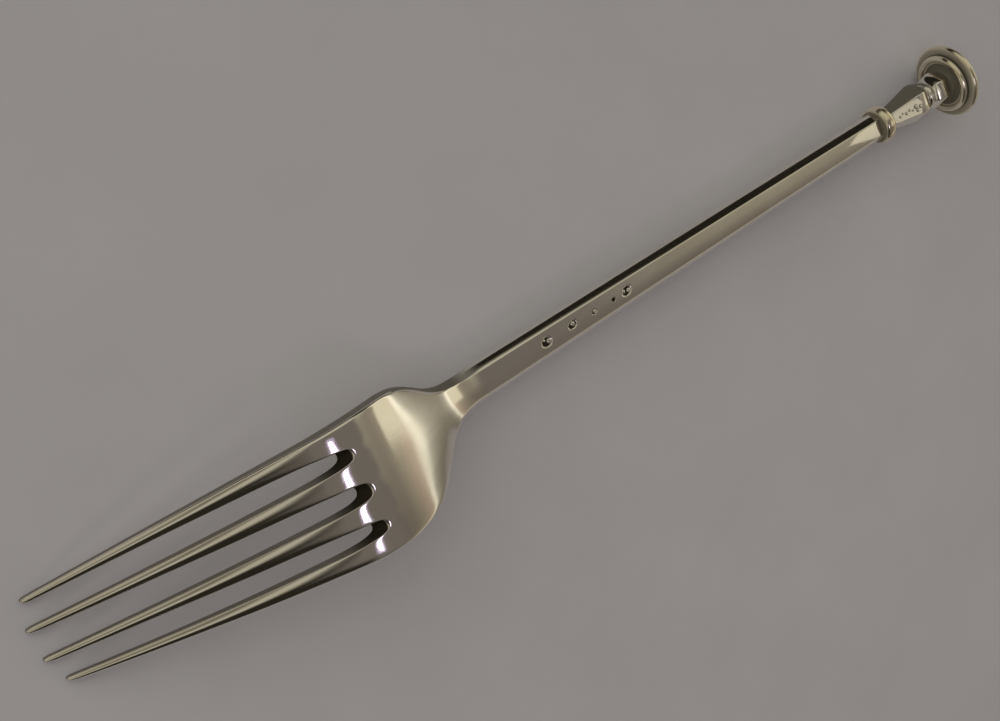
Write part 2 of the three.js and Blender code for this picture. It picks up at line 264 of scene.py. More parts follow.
# Forging: tines, head, neck and stem as one sheet of faces, thickened, then smoothed.
# Lengths are in mm, measured from the slot roots, as in the part's own drawing.
forgingShape = {
    "tineRows": [-43, -42.45, -41.2, -38, -33.5, -29, -24.5, -20, -16, -12, -8.6, -5.8, -3.6],
    "headRows": [1.4, 3.0, 4.8, 6.8, 8.8, 10.8, 12.8, 14.4, 15.8, 17.4, 19.0, 20.6, 22.4, 24.2],
    "stemRows": [26.4, 33, 44, 56, 68, 80, 92, 101, 106, 107.9, 108.2],
    "tineLength": 43.0, "innerTineExtra": 1.25,
    "tineTipWidth": 0.85, "tineRootWidth": 2.9, "tineRootFlare": 0.4, "tineFlareReach": 7.0,
    "tipThickness": 1.1, "headThickness": 2.5, "stemNeckThickness": 2.6, "stemEndThickness": 3.3,
    "outerTipEdge": 6.6, "outerTineBulge": 8.95, "outerBulgePlace": 19.0,
    "innerTipMiddle": 2.3, "innerRootMiddle": 2.84, "halfHead": 9.66,
    "tineRootSlope": 0.36, "tineCurveReach": 23.0,
    "ridge": (1.1, 19.35), "crestBend": 5.5, "crestSlope": -0.5,
    "headTurn": 15.8, "neckSlope": -0.66, "neckStraight": 1.1, "stemTop": 7.95, "neckStart": 24.1,
    "shoulderStart": 7.2, "shoulderPlace": 13.0, "shoulderHalfWidth": 6.65, "shoulderSlope": 0.86,
    "shoulderCurve": 2.8, "neckCurve": 6.5,
    "stemNeckWidth": 5.6, "stemEndWidth": 4.85, "stemNeckFlat": 3.75, "stemEndFlat": 2.75,
    "stemLand": 0.6, "stemEnd": 108.2, "stemCrown": 0.14,
    "outerRound": 0.8, "outerRoundRows": (6, 8, 10), "outerRoundEnd": 20,
    "edgeRound": 0.3, "slotEndRound": 0.8, "tipRound": 0.1, "headCrown": 0.18, "tineCrown": (0.30, 0.16),
    "headCrownReach": 20, "stemCrownHalf": 2, "stemCornerCrease": 0.15, "stemCornerRows": 6,
    "wallSplit": 0.42, "wallLift": 0.4, "tipDrops": (0.18, 0.06, 0.0, 0.0), "tipTaper": (0.7, 0.94),
    "crownPlaces": ((3, 13), (13, 25)), "crownFullWidth": 1.7, "crownRise": 0.4, "crownFall": 0.6,
    "slotLip": 0.35, "slotRoom": 1.5, "slotLean": 1.6, "slotLeanReach": 5.0, "slotCorner": 0.72,
    "slotRound": 1.06,  # the slot ends are drawn this much larger, because smoothing draws them in
}


def mixed(a, b, t):
    return a + (b - a) * t


def eased(x, low, high):
    t = min(1.0, max(0.0, (x - low) / (high - low)))
    return t * t * (3 - 2 * t)


def curvePoints(*corners, steps=40):
    points = []
    for step in range(steps + 1):
        t = step / steps
        level = [Vector(c) for c in corners]
        while len(level) > 1:
            level = [a.lerp(b, t) for a, b in zip(level, level[1:])]
        points.append(level[0])
    return points


def heightAt(points, x):
    if x <= points[0].x:
        return points[0].y
    for a, b in zip(points, points[1:]):
        if x <= b.x:
            return mixed(a.y, b.y, (x - a.x) / max(1e-9, b.x - a.x))
    return points[-1].y


def drawBack(s):
    rx, rz = s["ridge"]
    bend, low = s["crestBend"], s["stemTop"]
    tip = (-s["tineLength"], s["tipThickness"])
    tine = lambda reach: (rx - reach, rz - reach * s["tineRootSlope"])
    crestEnd = (rx + bend, rz + bend * s["crestSlope"])
    half = (s["headTurn"] - crestEnd[0]) / 2
    middle = (crestEnd[0] + half, crestEnd[1] + half * s["crestSlope"])
    # the turn is where the hump's curve gives way to the neck's
    turn = (s["headTurn"], middle[1] + half * s["neckSlope"])
    straight = (turn[0] + s["neckStraight"], turn[1] + s["neckStraight"] * s["neckSlope"])
    run = (low - straight[1]) / s["neckSlope"]
    return (curvePoints(tip, tine(s["tineCurveReach"]), tine(bend))
            + curvePoints(tine(bend), s["ridge"], crestEnd)
            + curvePoints(crestEnd, middle, turn)
            + curvePoints(straight, (straight[0] + run, low), (straight[0] + 2 * run, low)))


def drawEdge(s):
    place, half = s["shoulderPlace"], s["shoulderHalfWidth"]
    run = s["shoulderCurve"]
    fall = run * s["shoulderSlope"]
    tip = (-s["tineLength"], s["outerTipEdge"])
    root = (0, s["halfHead"])
    shoulder = (place, half)
    neck = (s["neckStart"], s["stemNeckWidth"] / 2)
    return (curvePoints(tip, (-s["outerBulgePlace"], s["outerTineBulge"]), root)
            + curvePoints(root, (s["shoulderStart"], s["halfHead"]), (place - run, half + fall), shoulder)
            + curvePoints(shoulder, (place + run, half - fall), (neck[0] - s["neckCurve"], neck[1]), neck)
            + [Vector((s["stemEnd"], s["stemEndWidth"] / 2))])


def makeForging(s):
    tineRows, headRows = s["tineRows"], s["headRows"] + s["stemRows"]
    rootRow = len(tineRows)
    rowCount = len(tineRows) + len(headRows)
    columnCount = 10
    back, edgeLine = drawBack(s), drawEdge(s)
    neckStart = s["neckStart"]
    tineStretch = (s["tineLength"] + s["innerTineExtra"]) / s["tineLength"]

    def widthAt(x):
        flare = s["tineRootFlare"] * eased(x, -s["tineFlareReach"], 0)
        return mixed(s["tineRootWidth"], s["tineTipWidth"], min(1.0, -x / s["tineLength"])) + flare

    rootWidth = widthAt(-s["slotRoom"])
    innerIn = s["innerRootMiddle"] - rootWidth / 2
    innerOut = s["innerRootMiddle"] + rootWidth / 2
    outerIn = s["halfHead"] - rootWidth
    sideMiddle = (innerOut + outerIn) / 2
    sideRadius = (outerIn - innerOut) / 2
    turnX = -sideRadius - s["slotLip"]
    # columns across one half: middle slot 0-2, inner tine 2-4, side slot 4-8, outer tine 8-10
    corner = s["slotCorner"]
    columns = [0, innerIn * corner, innerIn, s["innerRootMiddle"], innerOut,
               sideMiddle - sideRadius * corner, sideMiddle, sideMiddle + sideRadius * corner,
               outerIn, s["halfHead"] - rootWidth / 2, s["halfHead"]]
    inSlot = lambda y: y < 2 or 4 < y < 8

    # a flat sheet of squares first, one square per row and column
    clearSelection()
    bpy.ops.mesh.primitive_grid_add(x_subdivisions=rowCount, y_subdivisions=columnCount, size=2)
    piece = bpy.context.object
    for point in piece.data.vertices:
        point.co.x = round((point.co.x + 1) / 2 * rowCount)
        point.co.y = round((point.co.y + 1) / 2 * columnCount)

    # cut the slots away, pull the sheet down to a block, and split its walls into bands
    pickFaces(piece, lambda face: face.center.x < rootRow and inSlot(face.center.y))
    bpy.ops.mesh.delete(type="FACE")
    bpy.ops.mesh.select_all(action="SELECT")
    bpy.ops.mesh.extrude_region_move(TRANSFORM_OT_translate={"value": (0, 0, -3)})
    pickFaces(piece, lambda face: face.center.y < 0.01)
    bpy.ops.mesh.delete(type="ONLY_FACE")
    pickEdges(piece, lambda a, b: abs(a.z - b.z) > 2.5)
    bpy.ops.mesh.subdivide(number_cuts=2)
    # loose edges are left along the middle line where the halves will meet
    bpy.ops.mesh.select_all(action="SELECT")
    bpy.ops.mesh.delete_loose(use_verts=True, use_edges=True, use_faces=False)

    # Weights say how far each rim is rounded: least at the tips, most at the slot ends and along the
    # head's outer edge. Corners still stand at whole rows, columns and levels here, so half a step
    # tells them apart.
    def flatRim(a, b):
        return abs(a.z - b.z) < 0.5 and abs(a.z + 1.5) > 1

    def slotEndRim(a, b):
        atRoot = abs(a.x - rootRow) + abs(b.x - rootRow) < 0.5
        return flatRim(a, b) and atRoot and inSlot((a.y + b.y) / 2)

    def longRim(a, b):
        alongTine = max(a.x, b.x) < rootRow + 0.5 and abs(a.y - b.y) < 0.5 and round(a.y) in (2, 4, 8)
        return flatRim(a, b) and min(a.x, b.x) > 1.5 and (min(a.y, b.y) > 9.8 or alongTine)

    def tipRim(a, b):
        alongTine = abs(a.y - b.y) < 0.5 and round(a.y) in (2, 4, 8, 10)
        return flatRim(a, b) and max(a.x, b.x) < 2.5 and (max(a.x, b.x) < 0.5 or alongTine)

    for chosen, weight in ((slotEndRim, "slotEndRound"), (longRim, "edgeRound"), (tipRim, "tipRound")):
        pickEdges(piece, chosen)
        bpy.ops.transform.edge_bevelweight(value=s[weight] / s["outerRound"])
    extra = (s["outerRound"] - s["edgeRound"]) / len(s["outerRoundRows"])
    for first in s["outerRoundRows"]:
        pickEdges(piece, lambda a, b: flatRim(a, b) and a.z > -0.5 and min(a.y, b.y) > 9.8
                  and min(a.x, b.x) > first - 0.5 and max(a.x, b.x) < s["outerRoundEnd"] + 0.5)
        bpy.ops.transform.edge_bevelweight(value=extra / s["outerRound"])
    # the stem's side corners stay a little crisper than the rest
    cornerStart = rowCount - len(s["stemRows"]) - s["stemCornerRows"]
    pickEdges(piece, lambda a, b: a.y > 9.5 and b.y > 9.5 and abs(a.z - b.z) < 0.5
              and min(a.x, b.x) > cornerStart - 0.5 and abs(a.z + 1.5) < 1)
    bpy.ops.transform.edge_crease(value=s["stemCornerCrease"])
    objectMode()

    def thicknessAt(x):
        if x < 0:
            return mixed(s["headThickness"], s["tipThickness"], min(1.0, -x / s["tineLength"]))
        if x < neckStart:
            inNeck = eased(x, s["shoulderStart"], neckStart)
            return mixed(s["headThickness"], s["stemNeckThickness"], inNeck)
        along = (x - neckStart) / (s["stemEnd"] - neckStart)
        return mixed(s["stemNeckThickness"], s["stemEndThickness"], along)

    def tinePlace(i, j):
        x = tineRows[i] if i < rootRow else turnX
        width = widthAt(x)
        if j < 5:
            middle = mixed(s["innerRootMiddle"], s["innerTipMiddle"], -x / s["tineLength"])
        else:
            middle = heightAt(edgeLine, x) - width / 2
        reach = width / 2 * (s["tipTaper"][i] if i < len(s["tipTaper"]) else 1.0)
        side = {2: -1, 3: 0, 4: 1, 8: -1, 9: 0, 10: 1}[j]
        crown = sum(rise * eased(-x, *ends) for rise, ends in zip(s["tineCrown"], s["crownPlaces"]))
        crown *= min(1.0, width / s["crownFullWidth"])
        lift = crown * (-s["crownFall"] if side else s["crownRise"])
        return x * (tineStretch if j < 5 else 1.0), middle + side * reach, x, lift

    def headPlace(x, j, level):
        edge = heightAt(edgeLine, x)
        along = max(0.0, (x - neckStart) / (s["stemEnd"] - neckStart))
        neckBevel = s["stemNeckWidth"] - s["stemNeckFlat"]
        endBevel = s["stemEndWidth"] - s["stemEndFlat"]
        flat = edge - mixed(neckBevel, endBevel, along) / 2 * eased(x, s["shoulderStart"], neckStart)
        reach = flat if level in (0, 3) else edge
        return x, reach * columns[j] / columns[-1], x, 0.0

    def slotPlace(j):
        middle, radius = (0.0, innerIn) if j < 2 else (sideMiddle, sideRadius)
        turn = {0: 90, 1: 45, 5: 45, 6: 90, 7: 45}[j]
        side = 1 if j in (1, 7) else -1
        grown = radius * s["slotRound"]
        x = turnX + grown * math.sin(math.radians(turn))
        y = middle + side * grown * math.cos(math.radians(turn))
        return x, 0.0 if j == 0 else y, x, 0.0

    for point in piece.data.vertices:
        i, j, level = round(point.co.x), round(point.co.y), round(-point.co.z)
        if i > rootRow:
            x, y, station, lift = headPlace(headRows[i - rootRow - 1], j, level)
        elif i == rootRow and inSlot(j):
            x, y, station, lift = slotPlace(j)
        else:
            x, y, station, lift = tinePlace(i, j)
        lean = 0.0
        if i <= rootRow:
            lean = s["slotLean"] * level / 3 * eased(station, -s["slotLeanReach"], turnX)
        station -= lean
        top = heightAt(back, station)
        deep = thicknessAt(station)
        inStem = eased(station, s["shoulderStart"], neckStart)
        inHead = (1 - inStem) * eased(station, -s["headCrownReach"], 0)
        crown = s["headCrown"] * inHead * (y / s["halfHead"]) ** 2
        crown += s["stemCrown"] * inStem * (y / s["stemCrownHalf"]) ** 2
        bevelDown = mixed(deep * s["wallSplit"], (deep - s["stemLand"]) / 2, inStem)
        drop = {0: -lift, 1: bevelDown - lift * s["wallLift"], 2: deep - bevelDown, 3: deep}[level]
        if i == 0:
            drop += s["tipDrops"][level]
        point.co = Vector((x - lean + slotRootX, y, top - crown - drop)) * mm

    addAndApply(piece, "MIRROR", use_axis=(False, True, False), use_clip=True, merge_threshold=0.00002)
    faceOutwards(piece)
    addAndApply(piece, "BEVEL", width=s["outerRound"] * mm, segments=2, limit_method="WEIGHT",
                harden_normals=False)
    addAndApply(piece, "SUBSURF", levels=2, render_levels=2)
    return piece


forging = makeForging(forgingShape)
print("forging made:", len(forging.data.polygons), "faces")

# Punched places on the stem's back: plain sunk shapes, each with plain raised pellets left standing.
# Each is: place along, place across, length, width, number of sides, turn, then its pellets.
punchShape = {
    "depth": 0.22, "stemTop": forgingShape["stemTop"], "pelletRise": 0.2, "smooth": 40,
    "punches": [
        (-5.0, 0.0, 2.3, 1.9, 7, 10, [(0.45, -0.05, 0.42), (-0.3, 0.35, 0.26)]),
        (0.0, 0.1, 2.2, 1.5, 6, 18, [(0.1, 0.1, 0.4)]),
        (4.2, 0.0, 1.4, 1.1, 5, 40, [(0.1, 0.0, 0.34)]),
        (8.0, -0.1, 1.0, 0.9, 12, 0, []),
        (10.6, 0.0, 2.3, 1.7, 8, 24, [(-0.5, 0.1, 0.32), (0.4, -0.1, 0.4)]),
    ],
}


def sinkPunches(piece, s):
    floorZ = s["stemTop"] - s["depth"]
    pellets = []
    for x, y, length, width, sides, turn, dots in s["punches"]:
        clearSelection()
        bpy.ops.mesh.primitive_uv_sphere_add(segments=sides, ring_count=16, radius=1)
        cutter = bpy.context.object
        cutter.rotation_euler.z = math.radians(turn)
        cutter.scale = (length / 2 * mm, width / 2 * mm, s["depth"] * mm)
        cutter.location = (x * mm, y * mm, s["stemTop"] * mm)
        bpy.ops.object.transform_apply(location=True, rotation=True, scale=True)
        addAndApply(piece, "BOOLEAN", operation="DIFFERENCE", solver="EXACT", object=cutter)
        bpy.data.objects.remove(cutter)
        for dx, dy, r in dots:
            clearSelection()
            bpy.ops.mesh.primitive_uv_sphere_add(segments=20, ring_count=10, radius=r * mm,
                                                 location=((x + dx) * mm, (y + dy) * mm, floorZ * mm))
            pellet = bpy.context.object
            pellet.scale.z = s["pelletRise"] / r
            bpy.ops.object.transform_apply(location=True, rotation=True, scale=True)
            pellets.append(pellet)
    join(piece, *pellets)


sinkPunches(forging, punchShape)
smoothUnder(forging, punchShape["smooth"])
print("punches sunk")

# The sides of tines, head and neck are painted darker and rougher than their faces, the slot ends and
# punches most: painted shade mixed with grime.
# Places are in mm from the slot roots; tilts are how far a surface faces up or sideways.
forgingShadeAndGrime = {
    "wall": 0.9, "wallTilt": (0.12, 0.42),
    "slotEnd": 0.6, "slotHalf": 7.5, "slotFade": (-16, -4),
    "pitFade": (-9, -2.5), "lipTilt": (0.76, 0.86),
    "headEnd": 9, "neck": 0.92, "neckTilt": (0.45, 0.6), "neckFade": (20, 26),
    "punchHalf": 1.2, "punchTilt": 0.5, "punchDepth": (0.11, 0.16),
}


def forgingGrimeAndShade(p, n):
    w = forgingShadeAndGrime
    along = p.x - slotRootX
    wall = w["wall"] * (1 - eased(abs(n.z), *w["wallTilt"]))
    # slot walls and ends: painted shade, darkest in the slot ends
    if along < w["slotEnd"] and abs(p.y) < w["slotHalf"]:
        lip = mixed(w["wall"], 1.0, eased(along, *w["pitFade"])) * (1 - eased(abs(n.z), *w["lipTilt"]))
        return mixed(wall, lip, eased(along, *w["slotFade"]))
    if along < w["headEnd"]:
        return wall
    if along < w["neckFade"][1]:
        # the neck's side facets that face +y get painted shade
        return max(wall, w["neck"] * eased(n.y, *w["neckTilt"])) * (1 - eased(along, *w["neckFade"]))
    # the punches' bottoms get painted shade
    if abs(p.y) < w["punchHalf"] and n.z > w["punchTilt"]:
        return eased(punchShape["stemTop"] - p.z, *w["punchDepth"])
    return 0.0


paintGrimeAndShade(forging, forgingGrimeAndShade)
settle(forging, "fork_forging_looks", polishedSilver, "silver", "fork_forging")


# Turned and six-sided members: one ring of points drawn out along the axis, ring by ring
roundSides = 96
vaseSides = 6
roundSmooth = 50  # degrees under which a turned member shades as one surface
facetSmooth = 32  # the same on six-sided members, whose arrises stay crisp
arrisLimit = 42   # degrees over which an edge is an arris
pelletSmooth = 60


def drawOut(profile, sides):
    clearSelection()
    x, r = profile[0]
    bpy.ops.mesh.primitive_circle_add(vertices=sides, radius=r * mm, fill_type="NGON",
                                      location=(x * mm, 0, axisZ * mm), rotation=(0, math.pi / 2, 0))
    piece = bpy.context.object
    bpy.ops.object.transform_apply(location=True, rotation=True, scale=True)
    bpy.ops.object.mode_set(mode="EDIT")
    bpy.ops.mesh.select_all(action="SELECT")
    for nextX, nextR in profile[1:]:
        bpy.ops.mesh.extrude_region_move(TRANSFORM_OT_translate={"value": ((nextX - x) * mm, 0, 0)})
        scale = nextR / r
        bpy.ops.transform.resize(value=(1, scale, scale), center_override=(nextX * mm, 0, axisZ * mm))
        x, r = nextX, nextR
    objectMode()
    faceOutwards(piece)
    return piece


def arc(middleX, middleR, reachX, reachR, start, stop, steps):
    points = []
    for step in range(steps + 1):
        turn = math.radians(mixed(start, stop, step / steps))
        points.append((middleX + reachX * math.sin(turn), middleR + reachR * math.cos(turn)))
    return points


def roundArrises(piece, width):
    addAndApply(piece, "BEVEL", width=width * mm, segments=3, limit_method="ANGLE",
                angle_limit=math.radians(arrisLimit), harden_normals=False)
    smoothUnder(piece, facetSmooth)


def fromAxis(p):
    return math.hypot(p.y, p.z - axisZ)


# Collar ring between the stem and the finial
collarShape = {
    "start": 66.875, "length": 2.2, "radius": 3.2, "lip": 2.55, "bore": 1.2,
    "grimeAndShade": 0.8, "grimeAndShadeTilt": (0.7, 0.98),
}


def makeCollar(s):
    middle = s["start"] + s["length"] / 2
    bulge = arc(middle, s["lip"], s["length"] / 2, s["radius"] - s["lip"], -90, 90, 16)
    return drawOut([(s["start"], s["bore"]), *bulge, (s["start"] + s["length"], s["bore"])], roundSides)


collar = makeCollar(collarShape)
smoothUnder(collar, roundSmooth)
# painted shade, with some grime, on the collar's end faces where it meets the stem and the baluster
paintGrimeAndShade(collar, lambda p, n: collarShape["grimeAndShade"] * eased(abs(n.x), *collarShape["grimeAndShadeTilt"]))
settle(collar, "stem_collar_looks", wornSilver, "silver", "stem_collar")

# Baluster: six-sided vase, then its round bead
balusterShape = {
    "start": 69.075, "foot": 1.95, "shoulder": 3.25, "shoulderPlace": 6.6, "top": 2.0, "length": 9.2,
    "swell": 1.15, "rings": (0.0, 0.2, 0.4, 0.6, 0.8, 0.92), "footBore": 1.2, "topBore": 0.9,
    "bead": 2.35, "beadLip": 1.75, "beadLength": 1.2, "arris": 0.14,
    "endTilt": (0.8, 0.95), "sideShade": 0.92, "sideTilt": (0.6, 0.75),
    "pellets": [(2.0, -0.2, 0.24), (2.6, 0.1, 0.2), (3.3, -0.2, 0.3), (4.0, 0.05, 0.26),
                (4.6, -0.25, 0.22), (5.3, 0.1, 0.4), (5.5, -0.6, 0.34), (6.2, -0.2, 0.36)],
    "pelletRise": 0.75,
}


def makeBaluster(s):
    x = s["start"]
    rise = [(x + s["shoulderPlace"] * t, mixed(s["foot"], s["shoulder"], t ** s["swell"]))
            for t in s["rings"]]
    closing = arc(x + s["shoulderPlace"], s["top"], s["length"] - s["shoulderPlace"],
                  s["shoulder"] - s["top"], 0, 90, 10)
    vase = drawOut([(x, s["footBore"]), *rise, *closing, (x + s["length"], s["topBore"])], vaseSides)
    roundArrises(vase, s["arris"])
    beadStart = x + s["length"]
    middle = beadStart + s["beadLength"] / 2
    ring = arc(middle, s["beadLip"], s["beadLength"] / 2, s["bead"] - s["beadLip"], -90, 90, 14)
    beadEnd = beadStart + s["beadLength"]
    bead = drawOut([(beadStart, s["topBore"]), *ring, (beadEnd, s["topBore"])], roundSides)
    smoothUnder(bead, roundSmooth)
    # a row of plain pellets along the top facet
    pellets = []
    for place, side, radius in s["pellets"]:
        across = mixed(s["foot"], s["shoulder"], (place / s["shoulderPlace"]) ** s["swell"])
        top = axisZ + across * math.cos(math.pi / vaseSides)
        clearSelection()
        bpy.ops.mesh.primitive_uv_sphere_add(segments=16, ring_count=8, radius=radius * mm,
                                             location=((x + place) * mm, side * mm, top * mm))
        pellet = bpy.context.object
        pellet.scale.z = s["pelletRise"]
        bpy.ops.object.transform_apply(location=True, rotation=True, scale=True)
        smoothUnder(pellet, pelletSmooth)
        pellets.append(pellet)
    return join(vase, bead, *pellets)


baluster = makeBaluster(balusterShape)


# painted shade, with some grime, on the end faces, and painted shade on the facets that face +y
def balusterGrimeAndShade(p, n):
    s = balusterShape
    return max(eased(abs(n.x), *s["endTilt"]), s["sideShade"] * eased(n.y, *s["sideTilt"]))


paintGrimeAndShade(baluster, balusterGrimeAndShade)
settle(baluster, "finial_baluster_looks", polishedSilver, "silver", "finial_baluster")

# Knop: six-sided barrel
knopShape = {
    "start": 79.475, "length": 3.6, "radius": 3.1, "end": 1.7, "arris": 0.16, "bore": 0.9,
    "grimeAndShade": 0.7, "grimeAndShadeTilt": (0.75, 0.98),
}


def makeKnop(s):
    middle = s["start"] + s["length"] / 2
    barrel = arc(middle, s["end"], s["length"] / 2, s["radius"] - s["end"], -90, 90, 18)
    piece = drawOut([(s["start"], s["bore"]), *barrel, (s["start"] + s["length"], s["bore"])], vaseSides)
    roundArrises(piece, s["arris"])
    return piece


knop = makeKnop(knopShape)
# painted shade, with some grime, on the knop's end faces
paintGrimeAndShade(knop, lambda p, n: knopShape["grimeAndShade"] * eased(abs(n.x), *knopShape["grimeAndShadeTilt"]))
settle(knop, "finial_knop_looks", polishedSilver, "silver", "finial_knop")

# Seal base: a hollow curve out to a beaded lip
sealBaseShape = {
    "start": 83.075, "length": 1.2, "foot": 2.2, "radius": 5.1,
    "lipInner": 3.95, "lipWidth": 1.1, "lipMiddle": 0.85, "lipRise": 0.55, "hollowDepth": 0.5,
    "colletHalf": 0.16, "colletMiddle": 0.5, "colletRise": 0.22, "hollowStart": 0.62, "hollowEnd": 0.15,
    "bore": 1.0, "hollowGrimeAndShade": 0.92, "hollowFade": (3.6, 4.0), "grooveFade": (4.95, 5.08),
}


def makeSealBase(s):
    x, end = s["start"], s["start"] + s["length"]
    half = s["colletHalf"]
    collet = arc(x + half, s["foot"] + s["colletMiddle"], half, s["colletRise"], -90, 90, 8)
    hollow = arc(x + 2 * half, s["lipInner"] - s["hollowEnd"], s["hollowDepth"],
                 s["foot"] + s["hollowStart"] - s["lipInner"], 0, 90, 12)
    ring = []
    for degrees in range(0, 121, 10):
        t = math.radians(degrees)
        ring.append((x + s["lipMiddle"] - s["lipRise"] * math.sin(t),
                     s["lipInner"] + s["lipWidth"] * (0.5 - 0.5 * math.cos(t))))
    lastX, lastR = ring[-1]
    down = [(mixed(lastX, end, t), mixed(lastR, s["radius"], math.sin(t * math.pi / 2)))
            for t in (0.2, 0.4, 0.6, 0.8, 1.0)]
    return drawOut([(x, s["bore"]), *collet, *hollow, *ring, *down, (end, s["bore"])], roundSides)


sealBase = makeSealBase(sealBaseShape)
smoothUnder(sealBase, roundSmooth)


# painted shade, with some grime, in the hollow and in the groove where the base meets the seal
def sealBaseGrimeAndShade(p, n):
    s = sealBaseShape
    hollow = s["hollowGrimeAndShade"] - s["hollowGrimeAndShade"] * eased(fromAxis(p), *s["hollowFade"])
    return hollow + eased(fromAxis(p), *s["grooveFade"])


paintGrimeAndShade(sealBase, sealBaseGrimeAndShade)
settle(sealBase, "seal_base_looks", wornSilver, "silver", "seal_base")

# Seal: round plate with a full rounded rim and a bare face
sealShape = {
    "start": 84.475, "length": 1.3, "radius": 6.3, "bore": 1.0,
    "grimeAndShadeTilt": (0.6, 0.99), "rimLessShade": 0.42, "rimFade": (5.3, 5.6),
}


def makeSeal(s):
    half = s["length"] / 2
    rim = arc(s["start"] + half, s["radius"] - half, half, half, -90, 90, 16)
    return drawOut([(s["start"], s["bore"]), *rim, (s["start"] + s["length"], s["bore"])], roundSides)


seal = makeSeal(sealShape)
smoothUnder(seal, roundSmooth)


# painted shade, with some grime, on the seal's face toward the stem, less towards its rim
def sealGrimeAndShade(p, n):
    s = sealShape
    return eased(-n.x, *s["grimeAndShadeTilt"]) * (1 - s["rimLessShade"] * eased(fromAxis(p), *s["rimFade"]))


paintGrimeAndShade(seal, sealGrimeAndShade)
settle(seal, "seal_plate_looks", wornSilver, "silver", "seal_plate")
for name in ("stem_solder", "seal_solder"):
    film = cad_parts[name]
    film.data.materials.clear()
    film.data.materials.append(dullSolder)
print("finial made")

# Floor: plain pale grey board
floorLook = {
    "colour": (0.60, 0.588, 0.625), "roughness": 0.85, "specular": 0.15, "size": 3.0,
    "mottleScale": 40.0, "mottleSpread": (0.3, 0.7), "mottleShades": (0.97, 1.03),
}


def makeFloor(s):
    clearSelection()
    bpy.ops.mesh.primitive_plane_add(size=s["size"], location=(0, 0, 0))
    board = bpy.context.object
    board.name = "floorBoard"
    material = bpy.data.materials.new("paleBoard")
    material.use_nodes = True
    tree = material.node_tree
    shader = tree.nodes["Principled BSDF"]
    shader.inputs["Roughness"].default_value = s["roughness"]
    shader.inputs["Specular IOR Level"].default_value = s["specular"]
    place = node(tree, "ShaderNodeTexCoord", (-900, 0))
    mottle = noise(tree, (-700, 0), Scale=s["mottleScale"], Detail=5.0, Roughness=0.6)
    tree.links.new(place.outputs["Object"], mottle.inputs["Vector"])
    low, high = (tuple(c * shade for c in s["colour"]) for shade in s["mottleShades"])
    shade = ramp(tree, (-450, 0), *s["mottleSpread"], low, high)
    tree.links.new(mottle.outputs["Fac"], shade.inputs["Fac"])
    tree.links.new(shade.outputs["Color"], shader.inputs["Base Color"])
    board.data.materials.append(material)


makeFloor(floorLook)

# Dark card that only the silver's reflections see, so the sides that face it go dark
cardShape = {"x": (-80, 260), "y": 50, "height": 15, "colour": (0.05, 0.045, 0.035)}


def standCard(s):
    clearSelection()
    low, high = s["x"]
    middle = ((low + high) / 2 * mm, s["y"] * mm, s["height"] / 2 * mm)
    bpy.ops.mesh.primitive_plane_add(size=1, location=middle, rotation=(math.pi / 2, 0, 0))
    card = bpy.context.object
    card.name = "darkCard"
    card.scale = ((high - low) * mm, s["height"] * mm, 1)
    material = bpy.data.materials.new("darkCard")
    material.use_nodes = True
    shader = material.node_tree.nodes["Principled BSDF"]
    shader.inputs["Base Color"].default_value = (*s["colour"], 1)
    shader.inputs["Roughness"].default_value = 1.0
    card.data.materials.append(material)
    card.visible_camera = False
    card.visible_diffuse = False
    card.visible_shadow = False


standCard(cardShape)

# Soft light: a big key panel behind the camera, a small cool one overhead with a dimmer edge,
# and a faint one over the finial
lightPlan = {
    "key": {"place": (-780, 840, 1140), "aim": (0, 0, 0), "size": (1800, 1800), "power": 8.3,
            "colour": (0.98, 0.985, 1.0), "mirrored": False},
    "cool": {"place": (-92, -245, 649), "aim": (-44, 0, 18), "size": (62, 160), "power": 0.10,
             "colour": (0.90, 0.80, 1.0), "mirrored": True},
    "coolEdge": {"place": (-93, -250, 662), "aim": (-44, 0, 18), "size": (112, 245), "power": 0.035,
                 "colour": (0.74, 0.62, 1.0), "mirrored": True},
    "finial": {"place": (77.4, -3.8, 21.4), "aim": (72, 0, 9), "size": (8, 8), "power": 0.00007,
               "colour": (1.0, 0.95, 0.74), "mirrored": True},
}


def hangLight(name, s):
    data = bpy.data.lights.new(name, "AREA")
    data.shape = "RECTANGLE"
    data.size = s["size"][0] * mm
    data.size_y = s["size"][1] * mm
    data.energy = s["power"]
    data.color = s["colour"]
    lamp = bpy.data.objects.new(name, data)
    bpy.context.scene.collection.objects.link(lamp)
    lamp.location = Vector(s["place"]) * mm
    lamp.visible_camera = False
    lamp.visible_glossy = s["mirrored"]
    lamp.rotation_mode = "QUATERNION"
    lamp.rotation_quaternion = (Vector(s["aim"]) - Vector(s["place"])).to_track_quat("-Z", "Y")


for lampName, plan in lightPlan.items():
    hangLight(lampName, plan)

